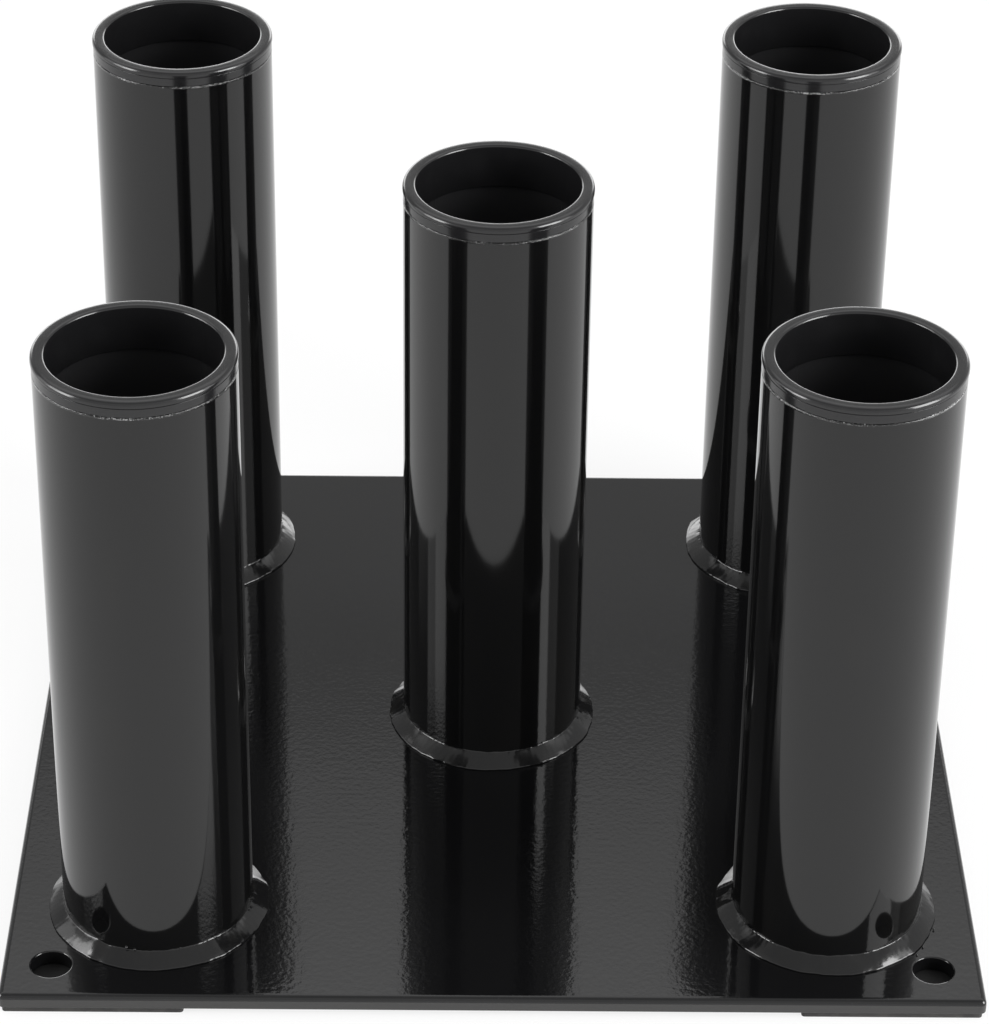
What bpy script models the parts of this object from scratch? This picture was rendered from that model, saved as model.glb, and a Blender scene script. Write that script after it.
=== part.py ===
# Vertical barbell rack: five open tubes welded upright on a square plate, on four rubber pads.
# Metres, +Z up. The origin is on the floor, under the middle of the plate. The front is at -Y.
import math

import bmesh
import bpy
from mathutils import Matrix, Vector

# Driving dimensions
PLATE_WIDTH = 0.305
PLATE_DEPTH = 0.305
PLATE_THICKNESS = 0.005
PLATE_CORNER_RADIUS = 0.002
PLATE_TOP_ROUNDING = 0.0018  # where the sheet's top edges were rolled over as it was sheared
PLATE_FOOT_ROUNDING = 0.0004

TUBE_DIAMETER = 0.060
TUBE_WALL = 0.0025
TUBE_LENGTH = 0.197

INSERT_WALL = 0.0012
INSERT_SKIRT_LENGTH = 0.0095  # inside the tube
INSERT_FLANGE_HEIGHT = 0.005  # lip, groove and band together, above the tube's cut end
INSERT_LIP_HEIGHT = 0.002
INSERT_LIP_OVERHANG = 0.0002  # how far the lip stands out past the tube
INSERT_GROOVE_DEPTH = 0.0004
INSERT_GROOVE_WIDTH = 0.0005

WELD_LEG_ON_PLATE = 0.0042
WELD_LEG_ON_TUBE = 0.0044
WELD_CROWN = 0.0008  # bulge of the bead past the straight line between its toes

BOLT_HOLE_DIAMETER = 0.0127
BOLT_HOLE_INSET = 0.01525  # from two edges of the plate to the hole's centre
BOLT_HOLE_TO_WELD = 0.00365  # from the hole's edge to the nearest bead's toe

PAD_WIDTH = 0.056
PAD_THICKNESS = 0.002
PAD_CORNER_RADIUS = 0.001
PAD_EDGE_MARGIN = 0.001  # from the plate's edge in to the pad's

SEAT_GAP = 0.0003  # between two pieces that touch

# How finely the round shapes are cut into flat faces
ROUND_SEGMENTS = 48
HOLE_SEGMENTS = 32
CORNER_SEGMENTS = 3
EDGE_SEGMENTS = 2
LIP_SEGMENTS = 4

# Faces that meet at less than this many degrees are shaded smooth
SMOOTH_BELOW = 35
PLATE_SMOOTH_BELOW = 50

# The most of a wall or a corner's radius that a rounding may take
SHARE_OF_WALL = 0.45
SHARE_OF_CORNER = 0.9

# Heights above the floor
PLATE_BOTTOM = PAD_THICKNESS + SEAT_GAP
PLATE_TOP = PLATE_BOTTOM + PLATE_THICKNESS

# Heights above the top of the plate, where each socket stands
TUBE_FOOT = SEAT_GAP
TUBE_MOUTH = TUBE_FOOT + TUBE_LENGTH
FLANGE_SEAT = TUBE_MOUTH + SEAT_GAP

# Distances from the middle of the plate
TUBE_RADIUS = TUBE_DIAMETER / 2
HOLE_TO_TUBE_CENTRE = BOLT_HOLE_DIAMETER / 2 + BOLT_HOLE_TO_WELD + WELD_LEG_ON_PLATE + TUBE_RADIUS
SOCKET_INSET = BOLT_HOLE_INSET + HOLE_TO_TUBE_CENTRE / math.sqrt(2)
SOCKET_X = PLATE_WIDTH / 2 - SOCKET_INSET
SOCKET_Y = PLATE_DEPTH / 2 - SOCKET_INSET
HOLE_X = PLATE_WIDTH / 2 - BOLT_HOLE_INSET
HOLE_Y = PLATE_DEPTH / 2 - BOLT_HOLE_INSET
PAD_X = PLATE_WIDTH / 2 - PAD_EDGE_MARGIN - PAD_WIDTH / 2
PAD_Y = PLATE_DEPTH / 2 - PAD_EDGE_MARGIN - PAD_WIDTH / 2

CORNERS = {
    "front_left": (-1, -1),
    "front_right": (1, -1),
    "rear_left": (-1, 1),
    "rear_right": (1, 1),
}


def clear_scene():
    for old in list(bpy.data.objects):
        bpy.data.objects.remove(old, do_unlink=True)


def make_material(name, colour, roughness, metallic=0.0):
    material = bpy.data.materials.new(name)
    material.use_nodes = True
    shader = material.node_tree.nodes["Principled BSDF"]
    shader.inputs["Base Color"].default_value = (*colour, 1.0)
    shader.inputs["Roughness"].default_value = roughness
    shader.inputs["Metallic"].default_value = metallic
    material.diffuse_color = (*colour, 1.0)
    return material


def mesh_from(bm, name, material, smooth_below=None):
    """Turn a bmesh into a mesh with outward faces, smooth where they meet at a small angle."""
    bmesh.ops.recalc_face_normals(bm, faces=bm.faces)
    mesh = bpy.data.meshes.new(name)
    bm.to_mesh(mesh)
    bm.free()
    mesh.materials.append(material)
    if smooth_below is not None:
        mesh.shade_smooth()
        mesh.set_sharp_from_angle(angle=math.radians(smooth_below))
    return mesh


def add_object(name, mesh, location=(0, 0, 0), parent=None):
    made = bpy.data.objects.new(name, mesh)
    made.location = location
    made.parent = parent
    bpy.context.scene.collection.objects.link(made)
    return made


def turned_mesh(name, profile, material):
    """Spin a closed outline of (radius, height) points once round the Z axis."""
    bm = bmesh.new()
    ring = [bm.verts.new((radius, 0, height)) for radius, height in profile]
    outline = [bm.edges.new((ring[i - 1], ring[i])) for i in range(len(ring))]
    bmesh.ops.spin(
        bm,
        geom=ring + outline,
        cent=(0, 0, 0),
        axis=(0, 0, 1),
        angle=2 * math.pi,
        steps=ROUND_SEGMENTS,
        use_merge=True,
    )
    return mesh_from(bm, name, material, smooth_below=SMOOTH_BELOW)


def slab(width, depth, bottom, top, corner_radius):
    """A bmesh block centred on the Z axis, with its four upright edges rounded."""
    bm = bmesh.new()
    bmesh.ops.create_cube(bm, size=1)
    bmesh.ops.scale(bm, vec=(width, depth, top - bottom), verts=bm.verts)
    bmesh.ops.translate(bm, vec=(0, 0, (bottom + top) / 2), verts=bm.verts)
    upright = [e for e in bm.edges if abs(e.verts[0].co.z - e.verts[1].co.z) > (top - bottom) / 2]
    bmesh.ops.bevel(
        bm,
        geom=upright,
        offset=corner_radius,
        offset_type="OFFSET",
        affect="EDGES",
        segments=CORNER_SEGMENTS,
        profile=0.5,
        material=-1,
    )
    return bm


def plate_mesh(material):
    bm = slab(PLATE_WIDTH, PLATE_DEPTH, PLATE_BOTTOM, PLATE_TOP, PLATE_CORNER_RADIUS)
    middle = (PLATE_BOTTOM + PLATE_TOP) / 2
    largest_rounding = min(SHARE_OF_WALL * PLATE_THICKNESS, SHARE_OF_CORNER * PLATE_CORNER_RADIUS)
    for is_top, rounding in ((True, PLATE_TOP_ROUNDING), (False, PLATE_FOOT_ROUNDING)):
        bmesh.ops.bevel(
            bm,
            geom=[e for e in bm.edges if all((v.co.z > middle) == is_top for v in e.verts)],
            offset=min(rounding, largest_rounding),
            offset_type="OFFSET",
            affect="EDGES",
            segments=EDGE_SEGMENTS,
            profile=0.5,
            material=-1,
        )
    return mesh_from(bm, "base_plate", material, smooth_below=PLATE_SMOOTH_BELOW)


def hole_cutter():
    """Four upright cylinders, one for each bolt hole, that reach past both faces of the plate."""
    bm = bmesh.new()
    for side_x, side_y in CORNERS.values():
        middle = Vector((side_x * HOLE_X, side_y * HOLE_Y, (PLATE_BOTTOM + PLATE_TOP) / 2))
        bmesh.ops.create_cone(
            bm,
            cap_ends=True,
            segments=HOLE_SEGMENTS,
            radius1=BOLT_HOLE_DIAMETER / 2,
            radius2=BOLT_HOLE_DIAMETER / 2,
            depth=2 * PLATE_THICKNESS,
            matrix=Matrix.Translation(middle),
        )
    mesh = bpy.data.meshes.new("bolt_hole_cutter")
    bm.to_mesh(mesh)
    bm.free()
    cutter = add_object("bolt_hole_cutter", mesh)
    cutter.hide_render = True
    cutter.display_type = "WIRE"
    return cutter


def add_base_plate(material):
    plate = add_object("base_plate", plate_mesh(material))
    holes = plate.modifiers.new("bolt_holes", "BOOLEAN")
    holes.operation = "DIFFERENCE"
    holes.solver = "EXACT"
    holes.object = hole_cutter()


def tube_profile():
    inner = TUBE_RADIUS - TUBE_WALL
    return [(inner, TUBE_FOOT), (TUBE_RADIUS, TUBE_FOOT), (TUBE_RADIUS, TUBE_MOUTH), (inner, TUBE_MOUTH)]


def weld_profile():
    """A fillet weld's section: two straight legs and a crowned face between its toes."""
    inner = TUBE_RADIUS + SEAT_GAP
    toe_on_plate = Vector((TUBE_RADIUS + WELD_LEG_ON_PLATE, SEAT_GAP))
    toe_on_tube = Vector((inner, WELD_LEG_ON_TUBE))
    across = toe_on_tube - toe_on_plate
    outward = Vector((across.y, -across.x)).normalized()
    crown = (toe_on_plate + toe_on_tube) / 2 + WELD_CROWN * outward
    return [(inner, SEAT_GAP), tuple(toe_on_plate), tuple(crown), tuple(toe_on_tube)]


def insert_profile():
    """The section of a tube insert: skirt in the tube, band and groove on its end, and a rounded lip."""
    skirt_radius = TUBE_RADIUS - TUBE_WALL - SEAT_GAP
    bore_radius = skirt_radius - INSERT_WALL
    lip_radius = TUBE_RADIUS + INSERT_LIP_OVERHANG
    lip_base = FLANGE_SEAT + INSERT_FLANGE_HEIGHT - INSERT_LIP_HEIGHT
    skirt_end = TUBE_MOUTH - INSERT_SKIRT_LENGTH
    outline = [
        (bore_radius, skirt_end),
        (skirt_radius, skirt_end),
        (skirt_radius, FLANGE_SEAT),
        (TUBE_RADIUS, FLANGE_SEAT),
        (TUBE_RADIUS, lip_base - INSERT_GROOVE_WIDTH),
        (TUBE_RADIUS - INSERT_GROOVE_DEPTH, lip_base - INSERT_GROOVE_WIDTH / 2),
    ]
    middle = (lip_radius + bore_radius) / 2
    reach = (lip_radius - bore_radius) / 2
    for step in range(LIP_SEGMENTS + 1):
        turn = math.pi * step / LIP_SEGMENTS
        outline.append((middle + reach * math.cos(turn), lip_base + INSERT_LIP_HEIGHT * math.sin(turn)))
    return outline


def add_sockets(tube_material, weld_material, insert_material):
    """Each socket is a tube, its weld bead and its insert, on an empty at the tube's foot."""
    tube = turned_mesh("tube", tube_profile(), tube_material)
    weld = turned_mesh("weld_bead", weld_profile(), weld_material)
    insert = turned_mesh("tube_insert", insert_profile(), insert_material)
    places = {name: (x * SOCKET_X, y * SOCKET_Y) for name, (x, y) in CORNERS.items()}
    places["centre"] = (0, 0)
    for name, (x, y) in places.items():
        socket = add_object("socket_" + name, None, (x, y, PLATE_TOP))
        add_object("tube_" + name, tube, parent=socket)
        add_object("weld_bead_" + name, weld, parent=socket)
        add_object("tube_insert_" + name, insert, parent=socket)


def add_pads(material):
    corner_radius = min(PAD_CORNER_RADIUS, SHARE_OF_WALL * PAD_WIDTH)
    pad = mesh_from(slab(PAD_WIDTH, PAD_WIDTH, 0, PAD_THICKNESS, corner_radius), "foot_pad", material)
    for name, (x, y) in CORNERS.items():
        add_object("foot_pad_" + name, pad, (x * PAD_X, y * PAD_Y, 0))


clear_scene()
add_base_plate(make_material("plate_paint", (0.012, 0.012, 0.013), 0.12))
add_sockets(
    make_material("tube_paint", (0.010, 0.010, 0.011), 0.10),
    make_material("weld_paint", (0.011, 0.011, 0.012), 0.18),
    make_material("insert_plastic", (0.030, 0.030, 0.032), 0.38),
)
add_pads(make_material("pad_rubber", (0.045, 0.045, 0.046), 0.75))
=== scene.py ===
import math

import bmesh
import bpy
from mathutils import Matrix, Vector, noise


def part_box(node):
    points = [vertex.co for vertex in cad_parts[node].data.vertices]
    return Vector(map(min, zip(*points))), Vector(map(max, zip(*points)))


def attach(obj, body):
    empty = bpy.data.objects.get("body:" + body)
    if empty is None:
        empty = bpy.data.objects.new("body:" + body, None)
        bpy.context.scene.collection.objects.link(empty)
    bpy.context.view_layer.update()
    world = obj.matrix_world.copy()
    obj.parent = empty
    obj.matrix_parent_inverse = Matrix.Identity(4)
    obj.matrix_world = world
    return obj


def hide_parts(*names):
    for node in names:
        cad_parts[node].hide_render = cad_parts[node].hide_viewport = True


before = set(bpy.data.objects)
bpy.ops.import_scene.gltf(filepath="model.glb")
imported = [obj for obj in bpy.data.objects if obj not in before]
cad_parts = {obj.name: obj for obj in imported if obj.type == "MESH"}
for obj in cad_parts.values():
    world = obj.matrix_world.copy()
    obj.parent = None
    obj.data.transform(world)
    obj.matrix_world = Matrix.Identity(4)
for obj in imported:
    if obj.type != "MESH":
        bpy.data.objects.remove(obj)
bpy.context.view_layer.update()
print("frame loaded:", len(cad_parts), "nodes")

millimetre = 0.001
corners = ("front_left", "front_right", "rear_left", "rear_right")
sockets = corners + ("centre",)


# Nodes


# A socket that Python's own operators work on, each adding a Math node
class Signal:
    def __init__(self, finish, socket):
        self.finish = finish
        self.socket = socket

    def maths(self, operation, *others):
        values = dict(enumerate((self, *others)))
        return self.finish.add("ShaderNodeMath", {"operation": operation}, values)

    def __add__(self, other):
        return self.maths("ADD", other)

    def __mul__(self, other):
        return self.maths("MULTIPLY", other)

    def __abs__(self):
        return self.maths("ABSOLUTE")

    __radd__ = __add__
    __rmul__ = __mul__


# The node tree of a material or of the world
class Finish:
    def __init__(self, owner):
        self.owner = owner
        owner.use_nodes = True
        self.tree = owner.node_tree

    # Settings go in first, then the values or links of the sockets; "out" names the output that is wanted
    def add(self, kind, settings=None, values=None, out=0):
        made = self.tree.nodes.new(kind)
        for name, value in (settings or {}).items():
            if name == "stops":
                self.setStops(made.color_ramp, value)
            else:
                setattr(made, name, value)
        for name, value in (values or {}).items():
            self.put(made.inputs[name], value)
        return Signal(self, made.outputs[out])

    def setStops(self, ramp, stops):
        while len(ramp.elements) < len(stops):
            ramp.elements.new(0.5)
        for element, (position, grey) in zip(ramp.elements, stops):
            element.position = position
            element.color = (grey, grey, grey, 1)

    def put(self, socket, value):
        if isinstance(value, Signal):
            self.tree.links.new(value.socket, socket)
        else:
            socket.default_value = value

    def place(self):
        return self.add("ShaderNodeTexCoord", out="Object")

    def along(self, axis):
        return self.add("ShaderNodeSeparateXYZ", None, {"Vector": self.place()}, out=axis)

    # Lumps of about one over "scale" metres, from 0 to 1 about a mean of 0.5
    def lumps(self, scale, detail=2.0, roughness=0.5, stretch=(1, 1, 1)):
        moved = self.add("ShaderNodeMapping", None, {"Vector": self.place(), "Scale": stretch})
        values = {"Vector": moved, "Scale": scale, "Detail": detail, "Roughness": roughness}
        return self.add("ShaderNodeTexNoise", {"noise_dimensions": "3D"}, values)

    # 0 at "start" and 1 at "end", with a soft step between them
    def step(self, signal, start, end):
        values = {"Value": signal, "From Min": start, "From Max": end}
        return self.add("ShaderNodeMapRange", {"interpolation_type": "SMOOTHSTEP"}, values)

    def ramp(self, signal, *stops):
        return self.add("ShaderNodeValToRGB", {"stops": stops}, {"Fac": signal})

    def blend(self, mask, first, second):
        sides = [side if isinstance(side, Signal) else (*side, 1) for side in (first, second)]
        values = {"Factor": mask, 6: sides[0], 7: sides[1]}
        return self.add("ShaderNodeMix", {"data_type": "RGBA"}, values, out=2)

    # Heights are in millimetres
    def bump(self, height):
        return self.add("ShaderNodeBump", None, {"Height": height, "Distance": millimetre, "Strength": 1.0})


def newFinish(name):
    return Finish(bpy.data.materials.new(name))


def principled(finish, **values):
    shader = finish.tree.nodes["Principled BSDF"]
    for name, value in values.items():
        finish.put(shader.inputs[name.replace("_", " ")], value)
    return finish.owner


# Finishes: colours are linear

plateLook = {
    "paint": (0.0036, 0.0036, 0.0039),
    "dust": (0.020, 0.020, 0.021),
    "cutFace": (0.030, 0.0295, 0.029),
    "roughness": 0.050,
    "hazeRoughness": 0.05,
    "cutRoughness": 0.35,
    "peel": {"scale": 560},
    "peelHeight": 0.026,
    "ripple": {"scale": 75, "roughness": 0.45},
    "rippleHeight": 0.016,
    "haze": {"scale": 22, "detail": 4.0, "roughness": 0.6},
    "specks": {"scale": 1900, "detail": 1.0},
    "speckStops": ((0.735, 0), (0.80, 1)),
    "speckHeight": 0.004,
    "cutGrain": {"scale": 900, "detail": 3.0, "roughness": 0.6, "stretch": (0.12, 0.12, 1)},
    "cutGrainHeight": 0.020,
    "cutFromRim": (0.0020, 0.0010),
    "cutFromTop": (0.00162, 0.00198),
    "cutFromFoot": (0.0001, 0.0003),
}


# The sheared sides of the plate took the paint less well than its faces
def cutFaceMask(finish):
    low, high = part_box("base_plate")
    outward = abs(finish.along("X")).maths("MAXIMUM", abs(finish.along("Y")))
    height = finish.along("Z")
    atRim = finish.step(outward, *(high[0] - inset for inset in plateLook["cutFromRim"]))
    belowTop = finish.step(height, *(high[2] - drop for drop in plateLook["cutFromTop"]))
    aboveFoot = finish.step(height, *(low[2] + rise for rise in plateLook["cutFromFoot"]))
    return atRim * belowTop * aboveFoot


def platePaint():
    finish = newFinish("plate_gloss_paint")
    peel = finish.lumps(**plateLook["peel"])
    ripple = finish.lumps(**plateLook["ripple"])
    haze = finish.lumps(**plateLook["haze"])
    specks = finish.ramp(finish.lumps(**plateLook["specks"]), *plateLook["speckStops"])
    cutFace = cutFaceMask(finish)
    cutGrain = finish.lumps(**plateLook["cutGrain"])
    height = peel * plateLook["peelHeight"] + ripple * plateLook["rippleHeight"]
    height = height + specks * plateLook["speckHeight"] + cutFace * cutGrain * plateLook["cutGrainHeight"]
    paint = finish.blend(specks, plateLook["paint"], plateLook["dust"])
    gloss = haze * plateLook["hazeRoughness"] + plateLook["roughness"]
    return principled(
        finish,
        Base_Color=finish.blend(cutFace, paint, plateLook["cutFace"]),
        Roughness=gloss + cutFace * plateLook["cutRoughness"],
        Normal=finish.bump(height),
    )


tubeLook = {
    "paint": (0.0029, 0.0029, 0.0030),
    "thin": (0.0048, 0.0045, 0.0040),
    "inside": (0.022, 0.022, 0.023),
    # Colour of the specks round the mouth: partly chipped paint, partly painted glints
    "chipGlint": (0.26, 0.26, 0.26),
    "roughness": 0.045,
    "hazeRoughness": 0.05,
    "haze": {"scale": 30, "detail": 4.0, "roughness": 0.6, "stretch": (1, 1, 0.3)},
    "thinStops": ((0.55, 0), (0.8, 1)),
    "peel": {"scale": 480},
    "peelHeight": 0.0016,
    "drawn": {"scale": 170, "stretch": (1, 1, 0.03)},
    "drawnHeight": 0.008,
    "flakes": {"scale": 2400, "roughness": 0.7},
    "flakeHeight": 0.11,
    "drift": {"scale": 60, "detail": 1.0},
    "driftShare": 0.35,
    "chipGlintStops": ((0.74, 0), (0.78, 1)),
    "chipGlintsFromMouth": (0.0007, 0.00035),
}


def tubePaint():
    finish = newFinish("tube_gloss_paint")
    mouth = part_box("tube_centre")[1][2]
    peel = finish.lumps(**tubeLook["peel"])
    drawn = finish.lumps(**tubeLook["drawn"])
    haze = finish.lumps(**tubeLook["haze"])
    atMouth = finish.step(finish.along("Z"), *(mouth - drop for drop in tubeLook["chipGlintsFromMouth"]))
    flakes = finish.lumps(**tubeLook["flakes"]) + finish.lumps(**tubeLook["drift"]) * tubeLook["driftShare"]
    # Light specks along the cut end: partly chipped paint, partly painted glints standing in for reflections
    chipGlints = atMouth * finish.ramp(flakes, *tubeLook["chipGlintStops"])
    height = peel * tubeLook["peelHeight"] + drawn * tubeLook["drawnHeight"]
    height = height + atMouth * flakes * tubeLook["flakeHeight"]
    paint = finish.blend(finish.ramp(haze, *tubeLook["thinStops"]), tubeLook["paint"], tubeLook["thin"])
    inside = finish.add("ShaderNodeAttribute", {"attribute_name": "inside"}, out="Fac")
    paint = finish.blend(inside, paint, tubeLook["inside"])
    return principled(
        finish,
        Base_Color=finish.blend(chipGlints, paint, tubeLook["chipGlint"]),
        Roughness=haze * tubeLook["hazeRoughness"] + tubeLook["roughness"],
        Normal=finish.bump(height),
    )


weldLook = {
    "paint": (0.0035, 0.0035, 0.0037),
    "thin": (0.0070, 0.0067, 0.0062),
    "roughness": 0.09,
    "hazeRoughness": 0.08,
    "haze": {"scale": 160, "detail": 3.0, "roughness": 0.6},
    "thinStops": ((0.5, 0), (0.8, 1)),
    "waves": {"scale": 260},
    "waveHeight": 0.03,
    "pits": {"scale": 1100, "roughness": 0.6},
    "pitHeight": 0.004,
}


def weldPaint():
    finish = newFinish("weld_gloss_paint")
    waves = finish.lumps(**weldLook["waves"])
    pits = finish.lumps(**weldLook["pits"])
    haze = finish.lumps(**weldLook["haze"])
    thin = finish.ramp(haze, *weldLook["thinStops"])
    return principled(
        finish,
        Base_Color=finish.blend(thin, weldLook["paint"], weldLook["thin"]),
        Roughness=haze * weldLook["hazeRoughness"] + weldLook["roughness"],
        Normal=finish.bump(waves * weldLook["waveHeight"] + pits * weldLook["pitHeight"]),
    )


insertLook = {
    "plastic": (0.0080, 0.0080, 0.0085),
    "rubbed": (0.0120, 0.0120, 0.0126),
    "roughness": 0.11,
    "flowRoughness": 0.09,
    "flow": {"scale": 90, "detail": 4.0, "roughness": 0.6},
    "rubbedStops": ((0.5, 0), (0.85, 1)),
    "grain": {"scale": 2600, "roughness": 0.6},
    "grainHeight": 0.005,
}


def insertPlastic():
    finish = newFinish("insert_moulded_plastic")
    grain = finish.lumps(**insertLook["grain"])
    flow = finish.lumps(**insertLook["flow"])
    rubbed = finish.ramp(flow, *insertLook["rubbedStops"])
    return principled(
        finish,
        Base_Color=finish.blend(rubbed, insertLook["plastic"], insertLook["rubbed"]),
        Roughness=flow * insertLook["flowRoughness"] + insertLook["roughness"],
        Normal=finish.bump(grain * insertLook["grainHeight"]),
    )


padLook = {
    "rubber": (0.022, 0.0215, 0.021),
    "dust": (0.048, 0.046, 0.043),
    # Near-black top of the pad: painted shade for the floor of the bolt holes
    "holeShade": (0.003, 0.003, 0.003),
    "holeShadeFromTop": (0.0002, 0.0001),
    "roughness": 0.62,
    "grainRoughness": 0.2,
    "grain": {"scale": 1500, "detail": 3.0, "roughness": 0.6},
    "grainHeight": 0.03,
    "dustPatches": {"scale": 140, "detail": 4.0, "roughness": 0.65},
    "dustStops": ((0.45, 0), (0.75, 1)),
}


def padRubber():
    finish = newFinish("pad_rubber_sheet")
    grain = finish.lumps(**padLook["grain"])
    dust = finish.ramp(finish.lumps(**padLook["dustPatches"]), *padLook["dustStops"])
    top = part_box("foot_pad_" + corners[0])[1][2]
    # The pad's top, seen only down the bolt holes, is darkened as painted shade
    shadedTop = finish.step(finish.along("Z"), *(top - depth for depth in padLook["holeShadeFromTop"]))
    sheet = finish.blend(dust, padLook["rubber"], padLook["dust"])
    return principled(
        finish,
        Base_Color=finish.blend(shadedTop, sheet, padLook["holeShade"]),
        Roughness=grain * padLook["grainRoughness"] + padLook["roughness"],
        Normal=finish.bump(grain * padLook["grainHeight"]),
    )


plateMaterial = platePaint()
tubeMaterial = tubePaint()
weldMaterial = weldPaint()
insertMaterial = insertPlastic()
padMaterial = padRubber()
print("finishes made")


# Mesh helpers


# Spins a closed outline of (radius, height) points round an upright axis
def turned(outline, axis, steps):
    bm = bmesh.new()
    ring = [bm.verts.new((axis.x + radius, axis.y, height)) for radius, height in outline]
    edges = [bm.edges.new((ring[i - 1], ring[i])) for i in range(len(ring))]
    bmesh.ops.spin(
        bm,
        geom=ring + edges,
        cent=(axis.x, axis.y, 0),
        axis=(0, 0, 1),
        angle=2 * math.pi,
        steps=steps,
        use_merge=True,
    )
    bmesh.ops.recalc_face_normals(bm, faces=bm.faces)
    return bm


# Points on a rounding of an outline, from one angle to another, in degrees
def arc(centre, radius, start, end, steps):
    points = []
    for i in range(steps + 1):
        turn = math.radians(start + (end - start) * i / steps)
        points.append((centre[0] + radius * math.cos(turn), centre[1] + radius * math.sin(turn)))
    return points


def roundOff(bm, edges, radius, steps):
    bmesh.ops.bevel(
        bm,
        geom=edges,
        offset=radius,
        offset_type="OFFSET",
        affect="EDGES",
        segments=steps,
        profile=0.5,
        material=-1,
    )


def isFlat(face):
    return max(abs(part) for part in face.normal) > 0.99999


# Shades everything smooth except sharp turns and, on a piece with flat faces, the borders of those
def smoothShading(bm, smoothBelow, keepFlats):
    for face in bm.faces:
        face.smooth = True
    for edge in bm.edges:
        flats = sum(isFlat(face) for face in edge.link_faces)
        edge.smooth = edge.calc_face_angle(0) < math.radians(smoothBelow) and not (keepFlats and flats == 1)


def addPiece(bm, name, node, material, smoothBelow=40, keepFlats=False):
    smoothShading(bm, smoothBelow, keepFlats)
    mesh = bpy.data.meshes.new(name)
    bm.to_mesh(mesh)
    bm.free()
    mesh.materials.append(material)
    piece = bpy.data.objects.new(name, mesh)
    bpy.context.scene.collection.objects.link(piece)
    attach(piece, "root")
    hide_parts(node)
    return piece


def middleOf(node):
    low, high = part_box(node)
    return (Vector(low) + Vector(high)) / 2


# Base plate: a sheared square sheet, its top edges rolled over, with four bolt holes

plateShape = {
    "cornerRadius": 0.0018,
    "cornerSteps": 8,
    "topRadius": 0.0018,
    "footRadius": 0.0004,
    "edgeSteps": 8,
    "footSteps": 3,
    "holeDiameter": 0.0127,
    "holeInset": 0.01525,
    "holeSteps": 96,
    "holeTopRadius": 0.0005,
    "holeTopSteps": 4,
    "holeFootRadius": 0.0002,
    "holeFootSteps": 2,
    "collar": 0.0012,
    "patchHalf": 0.0095,
}


# Cuts the sheet on both sides of each bolt hole, so that each hole has a square patch to itself
def cutPatches(bm, holePlace, level):
    for direction in (Vector((1, 0, 0)), Vector((0, 1, 0))):
        for side in (-1, 1):
            for offset in (-plateShape["patchHalf"], plateShape["patchHalf"]):
                bmesh.ops.bisect_plane(
                    bm,
                    geom=bm.verts[:] + bm.edges[:] + bm.faces[:],
                    plane_co=direction * (side * holePlace + offset) + Vector((0, 0, level)),
                    plane_no=direction,
                )


# Swaps a patch for the same square with a round hole, whose collar keeps the rim clear of the long faces
def openHole(bm, middle):
    patch = min(bm.faces, key=lambda face: (face.calc_center_median() - middle).length)
    border = patch.edges[:]
    bmesh.ops.delete(bm, geom=[patch], context="FACES_ONLY")
    radius = plateShape["holeDiameter"] / 2
    place = Matrix.Translation(middle)
    circle = bmesh.ops.create_circle(bm, segments=plateShape["holeSteps"], radius=radius, matrix=place)
    rim = {edge for vert in circle["verts"] for edge in vert.link_edges}
    made = bmesh.ops.extrude_edge_only(bm, edges=list(rim))["geom"]
    collarVerts = [part for part in made if isinstance(part, bmesh.types.BMVert)]
    growth = (radius + plateShape["collar"]) / radius
    bmesh.ops.scale(bm, vec=(growth, growth, 1), space=place.inverted(), verts=collarVerts)
    collar = [edge for edge in bm.edges if all(vert in collarVerts for vert in edge.verts)]
    bmesh.ops.triangle_fill(bm, edges=border + collar, use_beauty=True)


# The sharp edges at one level: those of the bolt holes, or those of the sheet's own outline
def rimEdges(bm, level, inHole):
    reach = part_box("base_plate")[1][0] - plateShape["holeInset"] / 4
    found = []
    for edge in bm.edges:
        flat = all(abs(v.co.z - level) < 1e-6 for v in edge.verts)
        nearHole = all(max(abs(v.co.x), abs(v.co.y)) < reach for v in edge.verts)
        if flat and nearHole == inHole and edge.calc_face_angle(0) > 1:
            found.append(edge)
    return found


def makePlate():
    low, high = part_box("base_plate")
    bm = bmesh.new()
    bmesh.ops.create_grid(bm, x_segments=1, y_segments=1, size=high[0])
    bmesh.ops.translate(bm, vec=(0, 0, high[2]), verts=bm.verts)
    bmesh.ops.bevel(
        bm,
        geom=bm.verts[:],
        offset=plateShape["cornerRadius"],
        offset_type="OFFSET",
        affect="VERTICES",
        segments=plateShape["cornerSteps"],
        profile=0.5,
        material=-1,
    )
    holePlace = high[0] - plateShape["holeInset"]
    cutPatches(bm, holePlace, high[2])
    for sideX in (-1, 1):
        for sideY in (-1, 1):
            openHole(bm, Vector((sideX * holePlace, sideY * holePlace, high[2])))
    bmesh.ops.recalc_face_normals(bm, faces=bm.faces)
    bmesh.ops.solidify(bm, geom=bm.faces[:], thickness=high[2] - low[2])
    bmesh.ops.recalc_face_normals(bm, faces=bm.faces)
    top = max(v.co.z for v in bm.verts)
    bmesh.ops.translate(bm, vec=(0, 0, high[2] - top), verts=bm.verts)
    roundOff(bm, rimEdges(bm, high[2], False), plateShape["topRadius"], plateShape["edgeSteps"])
    roundOff(bm, rimEdges(bm, low[2], False), plateShape["footRadius"], plateShape["footSteps"])
    roundOff(bm, rimEdges(bm, high[2], True), plateShape["holeTopRadius"], plateShape["holeTopSteps"])
    roundOff(bm, rimEdges(bm, low[2], True), plateShape["holeFootRadius"], plateShape["holeFootSteps"])
    addPiece(bm, "painted_plate", "base_plate", plateMaterial, keepFlats=True)


makePlate()
print("plate made")


# Tubes: plain walls, and a cut end whose paint has pulled into a ragged edge

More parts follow.
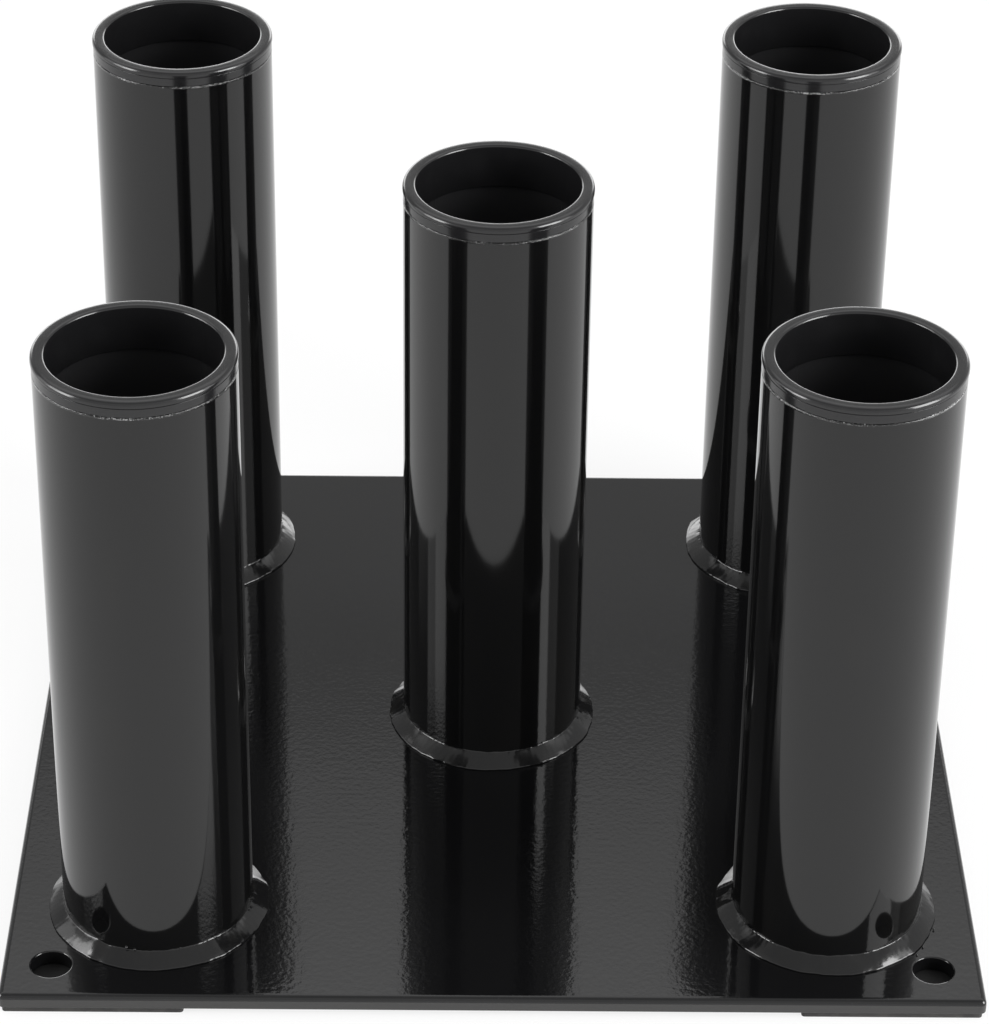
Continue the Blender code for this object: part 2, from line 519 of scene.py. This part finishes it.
tubeShape = {
    "wall": 0.0025,
    "footDrop": 0.0003,
    "mouthRise": 0.0002,
    "cutRadius": 0.0004,
    "cutSteps": 5,
    "ragged": 0.00012,
    "raggedPerRadian": 34.0,
    "finerBy": 2.7,
    "finerShare": 0.6,
    "raggedDrop": 0.5,
    "steps": 320,
}


# How far the cut end rises at a point of its edge, from noise that differs from tube to tube
def raggedRise(offset, share, number):
    turn = offset.to_2d().normalized() * tubeShape["raggedPerRadian"]
    finer = turn * tubeShape["finerBy"]
    coarse = noise.noise((turn.x, turn.y, 10 * number))
    fine = noise.noise((finer.x, finer.y, number))
    return tubeShape["ragged"] * (coarse + tubeShape["finerShare"] * fine - tubeShape["raggedDrop"]) * share


def makeTube(place, number):
    low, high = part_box("tube_" + place)
    axis = middleOf("tube_" + place)
    outer = (high[0] - low[0]) / 2
    inner = outer - tubeShape["wall"]
    foot = low[2] - tubeShape["footDrop"]
    mouth = high[2] + tubeShape["mouthRise"]
    cut = tubeShape["cutRadius"]
    # The rows of points just below the rounded end keep the long walls straight in their shading
    outline = [(inner, foot), (outer, foot), (outer, mouth - 2 * cut)]
    outline += arc((outer - cut, mouth - cut), cut, 0, 90, tubeShape["cutSteps"])
    outline += arc((inner + cut, mouth - cut), cut, 90, 180, tubeShape["cutSteps"])
    outline.append((inner, mouth - 2 * cut))
    bm = turned(outline, axis, tubeShape["steps"])
    inside = bm.verts.layers.float.new("inside")
    for vert in bm.verts:
        vert[inside] = (vert.co - axis).to_2d().length < (inner + outer) / 2
        share = (vert.co.z - mouth + 1.5 * cut) / cut
        if share > 0:
            vert.co.z += raggedRise(vert.co - axis, share, number)
    addPiece(bm, "painted_tube_" + place, "tube_" + place, tubeMaterial)


for number, place in enumerate(sockets):
    makeTube(place, number)
print("tubes made")


# Weld beads: a smooth fillet with a rolled outer toe, uneven edges, and heavier lumps where the arc stopped

weldShape = {
    "legOnPlate": 0.0046,
    "legOnTube": 0.0043,
    "sunk": 0.0004,
    "toeRadius": 0.0005,
    "toeRaised": 0.75,
    "toeStart": -60,
    "toeEnd": 55,
    "toeSteps": 12,
    "blendRadius": 0.0005,
    "blendRise": 0.0003,
    "blendSteps": 6,
    "crown": 0.00010,
    "faceSteps": 9,
    "steps": 480,
    "edgePower": 10,
    "rippleHeight": 0.000004,
    "ripplesPerTurn": 95,
    "rippleSlant": 900,
    "noisePerBead": 7,
}

# Each wobble is (rate round the bead, layer of the noise, size in metres)
weldWobbles = {
    "faceOut": (2.2, 0, 0.00030),
    "faceUp": (3.0, 11, 0.00030),
    "edgeOut": (9.0, 3, 0.00024),
    "edgeOutFine": (26.0, 5, 0.00008),
    "edgeUp": (11.0, 13, 0.00030),
    "edgeUpFine": (30.0, 17, 0.00014),
}

# Each lump is (degrees anticlockwise from +X, half width before, half width after, swell out, swell up),
# with the swells in millimetres
weldLumps = {
    "centre": ((163, 4, 10, 0.5, 0.3), (338, 9, 4, 0.3, 0.4), (262, 14, 6, 0.3, 0.0)),
    "front_left": (
        (14, 6, 5, 0.6, 0.7),
        (352, 6, 7, 0.4, 0.0),
        (236, 6, 3, 0.1, 0.6),
        (308, 5, 5, 0.3, 0.2),
    ),
    "front_right": ((166, 6, 7, 0.7, 0.6), (184, 6, 7, 0.3, 0.5), (318, 5, 6, 0.4, 0.0)),
    "rear_left": ((24, 12, 5, 0.4, 0.6), (300, 6, 4, 0.3, 0.2)),
    "rear_right": ((158, 5, 12, 0.6, 0.7), (240, 6, 4, 0.3, 0.2)),
}

# Each drop of spatter is (degrees, distance out from the wall, height above the plate, radius),
# with the lengths in millimetres
spatter = {
    "centre": (
        (216, 0.1, 4.9, 0.38),
        (230, 0.1, 4.7, 0.30),
        (236, 0.1, 4.8, 0.34),
        (304, 0.1, 4.8, 0.32),
    ),
    "front_left": (
        (255, 0.2, 5.2, 0.45),
        (260, 0.2, 4.8, 0.40),
        (287, 0.1, 4.8, 0.30),
        (309, 0.1, 5.0, 0.36),
    ),
    "front_right": ((318, 6.1, 0.2, 0.35), (325, 5.4, 0.3, 0.30), (341, 5.2, 0.5, 0.35)),
    "rear_left": ((330, 0.1, 5.4, 0.30), (12, 0.1, 5.8, 0.35)),
    "rear_right": ((215, 0.1, 5.4, 0.30), (224, 0.1, 5.2, 0.25), (170, 0.1, 5.9, 0.35)),
}


def wrapped(degrees):
    return (degrees + 180) % 360 - 180


# Swell of a bead, outwards and up the tube: a slow one of its whole face and a quick one of its two edges
def beadSwell(place, number, unit, degrees):
    def wobble(name):
        rate, layer, size = weldWobbles[name]
        depth = weldShape["noisePerBead"] * number + layer
        return size * noise.noise((rate * unit.x, rate * unit.y, depth))

    face = Vector((wobble("faceOut"), wobble("faceUp")))
    edge = Vector((wobble("edgeOut") + wobble("edgeOutFine"), wobble("edgeUp") + wobble("edgeUpFine")))
    for centre, before, after, outward, upward in weldLumps[place]:
        away = wrapped(degrees - centre)
        hump = math.exp(-((away / (before if away < 0 else after)) ** 2))
        face += Vector((outward, upward)) * millimetre * hump
    return face, edge


def beadOutline(wall, ground):
    sunk = weldShape["sunk"]
    toe = weldShape["toeRadius"]
    reach = wall + weldShape["legOnPlate"]
    rise = ground + weldShape["legOnTube"]
    rolled = (weldShape["toeStart"], weldShape["toeEnd"], weldShape["toeSteps"])
    outline = [(wall - sunk, ground - sunk), (reach - toe, ground - sunk)]
    outline += arc((reach - toe, ground + weldShape["toeRaised"] * toe), toe, *rolled)
    start = Vector(outline[-1])
    blend = weldShape["blendRadius"]
    crest = rise + weldShape["blendRise"]
    tilt = weldShape["toeEnd"]
    blendArc = arc((wall + blend, crest), blend, 180 + tilt, 180, weldShape["blendSteps"])
    end = Vector(blendArc[0])
    square = Vector((end.y - start.y, start.x - end.x)).normalized()
    for i in range(1, weldShape["faceSteps"] + 1):
        share = i / weldShape["faceSteps"]
        outline.append(tuple(start.lerp(end, share) + square * 4 * weldShape["crown"] * share * (1 - share)))
    outline += blendArc[1:]
    outline.append((wall - sunk, crest))
    return outline


def makeWeld(place, number):
    axis = middleOf("tube_" + place)
    low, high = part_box("tube_" + place)
    wall = (high[0] - low[0]) / 2
    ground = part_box("base_plate")[1][2]
    bm = turned(beadOutline(wall, ground), axis, weldShape["steps"])
    for vert in bm.verts:
        flat = (vert.co - axis).to_2d()
        out = flat.length - wall
        up = vert.co.z - ground
        unit = flat.normalized()
        degrees = math.degrees(math.atan2(unit.y, unit.x))
        faceSwell, edgeSwell = beadSwell(place, number, unit, degrees)
        outShare = min(max(out / weldShape["legOnPlate"], 0), 1)
        upShare = min(max(up / weldShape["legOnTube"], 0), 1)
        phase = weldShape["ripplesPerTurn"] * math.radians(degrees) - weldShape["rippleSlant"] * up
        ripple = weldShape["rippleHeight"] * math.sin(phase) * 4 * outShare * upShare
        swell = faceSwell.x * outShare + edgeSwell.x * outShare ** weldShape["edgePower"]
        flat = unit * (wall + out + swell + ripple)
        vert.co.x = axis.x + flat.x
        vert.co.y = axis.y + flat.y
        vert.co.z += faceSwell.y * upShare + edgeSwell.y * upShare ** weldShape["edgePower"] + ripple
    for degrees, out, up, radius in spatter[place]:
        turn = math.radians(degrees)
        reach = wall + out * millimetre
        spot = (axis.x + reach * math.cos(turn), axis.y + reach * math.sin(turn), ground + up * millimetre)
        matrix = Matrix.Translation(spot)
        bmesh.ops.create_icosphere(bm, subdivisions=3, radius=radius * millimetre, matrix=matrix)
    addPiece(bm, "painted_weld_" + place, "weld_bead_" + place, weldMaterial, smoothBelow=60)


for number, place in enumerate(sockets):
    makeWeld(place, number)
print("weld beads made")


# Inserts: a skirt in the tube, a band flush with it, a groove, and a rounded lip

insertShape = {
    "seatGap": 0.0003,
    "bore": 0.0260,
    "skirtWall": 0.0012,
    "bandHeight": 0.0027,
    "grooveWidth": 0.0003,
    "grooveDepth": 0.0002,
    "innerRadius": 0.0009,
    "outerRadius": 0.0013,
    "crown": 0.00004,
    "edgeRadius": 0.00006,
    "hold": 0.0003,
    "arcSteps": 7,
    "edgeSteps": 3,
    "steps": 256,
}


def makeInsert(place):
    low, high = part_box("tube_insert_" + place)
    axis = middleOf("tube_insert_" + place)
    tubeLow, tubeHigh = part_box("tube_" + place)
    band = (tubeHigh[0] - tubeLow[0]) / 2
    lip = (high[0] - low[0]) / 2
    bore = insertShape["bore"]
    skirt = bore + insertShape["skirtWall"]
    seat = tubeHigh[2] + insertShape["seatGap"]
    groove = seat + insertShape["bandHeight"]
    lipFoot = groove + insertShape["grooveWidth"]
    neck = band - insertShape["grooveDepth"]
    top = high[2]
    shoulder = top - insertShape["crown"]
    inner = insertShape["innerRadius"]
    outer = insertShape["outerRadius"]
    edge = insertShape["edgeRadius"]
    hold = insertShape["hold"]
    steps = insertShape["arcSteps"]
    edgeSteps = insertShape["edgeSteps"]
    outline = [(bore, low[2] + edge + hold)]
    outline += arc((bore + edge, low[2] + edge), edge, 180, 270, edgeSteps)
    outline += [(skirt, low[2]), (skirt, seat)]
    outline += arc((band - edge, seat + edge), edge, -90, 0, edgeSteps)
    outline += [(band, seat + edge + hold), (band, groove - edge - hold)]
    outline += arc((band - edge, groove - edge), edge, 0, 90, edgeSteps)
    outline += [(neck, groove), (neck, lipFoot)]
    outline += arc((lip - edge, lipFoot + edge), edge, -90, 0, edgeSteps)
    outline += arc((lip - outer, shoulder - outer), outer, 0, 88, steps)
    outline.append(((lip - outer + bore + inner) / 2, top))
    outline += arc((bore + inner, shoulder - inner), inner, 92, 180, steps)
    outline.append((bore, shoulder - inner - hold))
    bm = turned(outline, axis, insertShape["steps"])
    addPiece(bm, "moulded_insert_" + place, "tube_insert_" + place, insertMaterial)


for place in sockets:
    makeInsert(place)
print("inserts made")


# Foot pads: squares of rubber sheet with softened edges

padShape = {
    "cornerRadius": 0.001,
    "edgeRadius": 0.0003,
    "steps": 3,
}


def makePad(place):
    low, high = (Vector(corner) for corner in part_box("foot_pad_" + place))
    bm = bmesh.new()
    bmesh.ops.create_cube(bm, size=1)
    bmesh.ops.scale(bm, vec=high - low, verts=bm.verts)
    bmesh.ops.translate(bm, vec=(low + high) / 2, verts=bm.verts)
    upright = [e for e in bm.edges if abs(e.verts[0].co.z - e.verts[1].co.z) > (high.z - low.z) / 2]
    roundOff(bm, upright, padShape["cornerRadius"], padShape["steps"])
    rims = [e for e in bm.edges if e.calc_face_angle() > 1]
    roundOff(bm, rims, padShape["edgeRadius"], padShape["steps"])
    addPiece(bm, "rubber_pad_" + place, "foot_pad_" + place, padMaterial, keepFlats=True)


for place in corners:
    makePad(place)
print("pads made")


# Stage: a plain pale floor, the room's own light, and tall soft boxes at both sides

stageLook = {
    "floorSize": 12.0,
    "floorColour": (0.80, 0.80, 0.80),
    "floorRoughness": 0.9,
    "floorGlow": 0.80,
}


def floorMaterial():
    finish = newFinish("studio_floor")
    seen = 0
    for ray in ("Is Camera Ray", "Is Glossy Ray", "Is Transmission Ray"):
        seen = seen + finish.add("ShaderNodeLightPath", out=ray)
    shader = finish.tree.nodes["Principled BSDF"]
    principled(
        finish,
        Base_Color=(*stageLook["floorColour"], 1),
        Roughness=stageLook["floorRoughness"],
        Specular_IOR_Level=0,
    )
    glow = finish.add("ShaderNodeEmission", None, {"Color": (1, 1, 1, 1), "Strength": 1.0})
    values = {0: seen * stageLook["floorGlow"], 1: Signal(finish, shader.outputs[0]), 2: glow}
    surface = finish.add("ShaderNodeMixShader", None, values)
    finish.put(finish.tree.nodes["Material Output"].inputs["Surface"], surface)
    return finish.owner


def makeFloor():
    bm = bmesh.new()
    bmesh.ops.create_grid(bm, x_segments=1, y_segments=1, size=stageLook["floorSize"] / 2)
    mesh = bpy.data.meshes.new("studio_floor")
    bm.to_mesh(mesh)
    bm.free()
    mesh.materials.append(floorMaterial())
    floor = bpy.data.objects.new("studio_floor", mesh)
    bpy.context.scene.collection.objects.link(floor)


makeFloor()

# The room's own light by direction: "rise" is up, "depth" is back, "side" is right
roomLook = {
    "walls": 0.55,
    "sideTilt": 0.20,
    "frontGlow": 0.30,
    "frontEdge": (0.1, -0.4),
    "frontFade": (0.75, 0.60),
    "backGlow": 3.6,
    "backFade": (0.36, 0.28),
    "backEdge": (-0.15, 0.30),
    "backSides": (0.58, 0.44),
    "dip": -0.12,
    "dipFade": (0.552, 0.573),
    "middleGlow": 0.50,
    "middleFade": (0.570, 0.604),
    "highGlow": 0.46,
    "highFade": (0.60, 0.67),
}


def lightRoom():
    world = bpy.context.scene.world or bpy.data.worlds.new("studio_room")
    bpy.context.scene.world = world
    finish = Finish(world)
    direction = finish.add("ShaderNodeTexCoord", out="Generated")
    side, depth, rise = (
        finish.add("ShaderNodeSeparateXYZ", None, {"Vector": direction}, out=axis) for axis in "XYZ"
    )
    walls = (side * roomLook["sideTilt"] + 1) * roomLook["walls"]
    low = finish.step(rise, *roomLook["backFade"]) * finish.step(abs(side), *roomLook["backSides"])
    low = low * roomLook["backGlow"]
    middle = finish.step(rise, *roomLook["middleFade"]) * roomLook["middleGlow"]
    high = finish.step(rise, *roomLook["highFade"]) * roomLook["highGlow"]
    dip = finish.step(rise, *roomLook["dipFade"]) * roomLook["dip"]
    back = finish.step(depth, *roomLook["backEdge"]) * (low + dip + middle + high)
    front = finish.step(depth, *roomLook["frontEdge"]) * finish.step(rise, *roomLook["frontFade"])
    background = finish.tree.nodes["Background"]
    finish.put(background.inputs["Color"], (1, 1, 1, 1))
    finish.put(background.inputs["Strength"], walls + back + front * roomLook["frontGlow"])


lightRoom()

# Tall soft boxes at both sides: "turn" is in degrees from the front round to the right
softBoxStand = {"distance": 1.5, "bottom": 0.08}
softBoxes = {
    "right": {"turn": 61, "top": 1.20, "width": 0.72, "brightness": 13.0},
    "right_edge": {"turn": 82, "top": 1.10, "width": 0.40, "brightness": 2.4},
    "left": {"turn": -71, "top": 1.05, "width": 0.42, "brightness": 11.0},
    "left_edge": {"turn": -85.5, "top": 1.05, "width": 0.34, "brightness": 5.5},
    "left_far": {"turn": -101, "top": 0.95, "width": 0.48, "brightness": 1.3},
}


def addSoftBox(name, box):
    turn = math.radians(box["turn"])
    towards = Vector((math.sin(turn), -math.cos(turn), 0))
    bottom = softBoxStand["bottom"]
    tall = box["top"] - bottom
    lamp = bpy.data.lights.new("soft_box_" + name, "AREA")
    lamp.shape = "RECTANGLE"
    lamp.size = box["width"]
    lamp.size_y = tall
    lamp.energy = math.pi * box["width"] * tall * box["brightness"]
    lampObject = bpy.data.objects.new("soft_box_" + name, lamp)
    lampObject.location = towards * softBoxStand["distance"] + Vector((0, 0, bottom + tall / 2))
    lampObject.rotation_mode = "QUATERNION"
    lampObject.rotation_quaternion = towards.to_track_quat("Z", "Y")
    lampObject.visible_camera = False
    bpy.context.scene.collection.objects.link(lampObject)


for name, box in softBoxes.items():
    addSoftBox(name, box)

# The camera: metres, degrees and the lens's millimetres
view = {
    "place": (-0.01115, -1.06426, 0.76502),
    "turn": 0.849,
    "tilt": 57.524,
    "roll": -1.226,
    "lens": 134.33,
}


def addCamera():
    camera = bpy.data.cameras.new("photo_camera")
    camera.lens = view["lens"]
    cameraObject = bpy.data.objects.new("photo_camera", camera)
    turns = (("turn", "Z"), ("tilt", "X"), ("roll", "Y"))
    matrix = Matrix.Translation(view["place"])
    for name, axis in turns:
        matrix = matrix @ Matrix.Rotation(math.radians(view[name]), 4, axis)
    cameraObject.matrix_world = matrix
    bpy.context.scene.collection.objects.link(cameraObject)
    bpy.context.scene.camera = cameraObject


addCamera()
bpy.context.scene.view_settings.view_transform = "Standard"
print("stage, lights and camera made")
